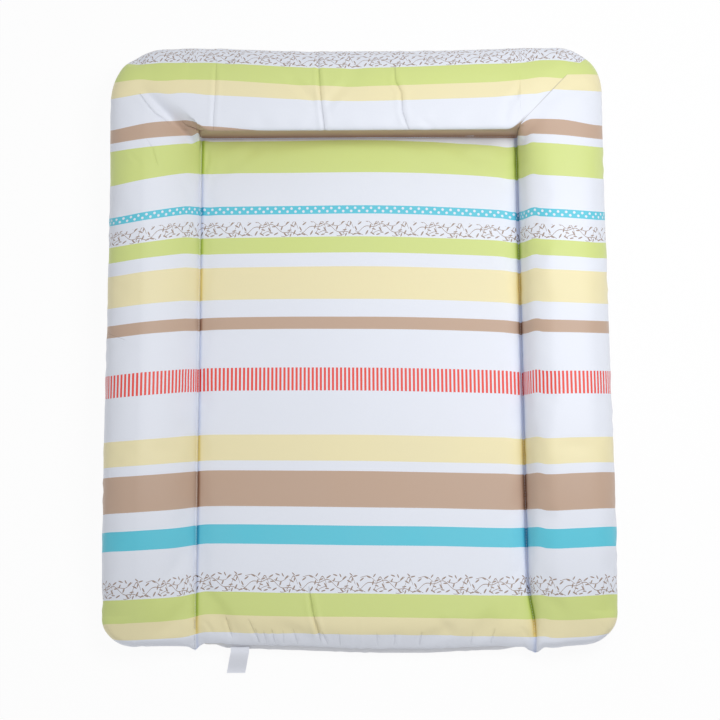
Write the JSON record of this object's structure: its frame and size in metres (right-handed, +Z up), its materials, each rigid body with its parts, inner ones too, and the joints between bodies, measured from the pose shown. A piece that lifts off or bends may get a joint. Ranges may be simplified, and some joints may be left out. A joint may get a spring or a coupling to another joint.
{
  "type": "changing mat",
  "caption": "Padded baby changing mat with raised stuffed bolsters on both long sides and at the head, an open low foot edge and a striped printed cover.",
  "frame": {"origin": "middle of the flat underside, on the surface that the mat lies on", "axes": "+Z up, +Y along the mat towards the head bolster, +X towards the right bolster seen from the foot"},
  "size_m": [0.7, 0.878, 0.088],
  "materials": {
    "printed_cover": "printed cotton with a thin wipe-clean film, fine weave, soft sheen",
    "back_sheet": "plain white coated cotton",
    "wadding": "loose white polyester fibre",
    "label_tape": "thin woven satin tape, bare"
  },
  "bodies": {
    "root": {"top_cover": "printed_cover", "back_cover": "back_sheet", "centre_pad": "wadding", "left_bolster_fill": "wadding", "right_bolster_fill": "wadding", "head_bolster_fill": "wadding", "care_label": "label_tape"}
  },
  "joints": []
}
